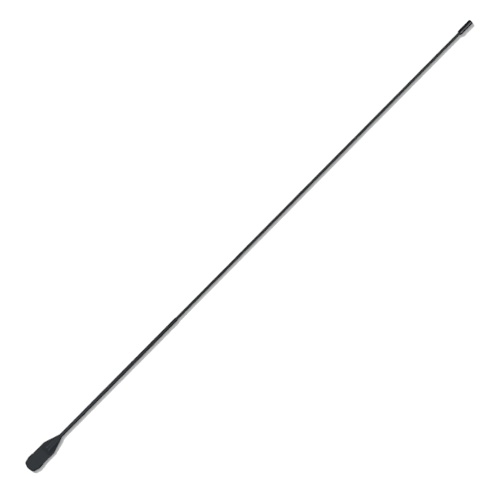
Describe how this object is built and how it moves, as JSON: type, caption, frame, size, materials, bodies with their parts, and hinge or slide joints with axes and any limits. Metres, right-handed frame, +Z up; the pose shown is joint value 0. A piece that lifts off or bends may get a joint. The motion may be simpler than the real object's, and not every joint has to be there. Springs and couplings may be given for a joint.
{
  "type": "telescopic rowing oar",
  "caption": "Slim telescopic rowing oar: small shouldered blade with a flared tip guard, two-step black shaft with a twist lock inside, short round grip.",
  "frame": {"origin": "on the floor under the middle of the oar at full length, half way along and half way across", "axes": "+X along the shaft from blade to grip, +Y across the blade, +Z up out of the floor that the oar lies on"},
  "size_m": [4.14, 0.1028, 0.032],
  "materials": {
    "blade_plastic": "satin, fine moulded texture",
    "guard_rubber": "matt moulded rubber",
    "rivet_black": "black anodised, satin",
    "tube_black": "black anodised, drawn",
    "bush_plastic": "turned acetal, satin",
    "seal_rubber": "matt rubber",
    "lock_plastic": "natural nylon, satin",
    "lock_steel": "stainless, brushed",
    "grip_rubber": "smooth moulded rubber, semi-gloss"
  },
  "bodies": {
    "lower_shaft": {"blade": "blade_plastic", "tip_guard": "guard_rubber", "tip_guard_rivets": "rivet_black", "blade_rivets": "rivet_black", "lower_tube": "tube_black", "lower_tube_stopper": "seal_rubber", "mouth_bush": "bush_plastic", "bush_rivets": "rivet_black", "mouth_seal": "seal_rubber"},
    "glide": {"glide_ring": "lock_plastic"},
    "upper_shaft": {"upper_tube": "tube_black", "cam_plug": "lock_plastic", "cam_plug_pin": "lock_steel", "cam_washer": "lock_steel", "cam_screw": "lock_steel", "stop_ring": "lock_plastic", "stop_ring_pin": "lock_steel", "upper_tube_plug": "seal_rubber", "grip": "grip_rubber"},
    "lock_ring": {"cam_ring": "lock_plastic"}
  },
  "joints": [
    {"name": "shaft_extension", "type": "slide", "parent": "lower_shaft", "child": "glide", "axis": [-1, 0, 0], "range_m": [0, 0.84]},
    {"name": "shaft_twist", "type": "hinge", "parent": "glide", "child": "upper_shaft", "pos_m": [-0.9, 0, 0.016], "axis": [1, 0, 0], "range_deg": [0, 88]},
    {"name": "cam_ring_turn", "type": "hinge", "parent": "upper_shaft", "child": "lock_ring", "pos_m": [-0.9, 0.00072, 0.01531], "axis": [1, 0, 0], "range_deg": [-88, 0]}
  ],
  "couplings": [
    {"joint": "cam_ring_turn", "follows": "shaft_twist", "ratio": -1}
  ]
}
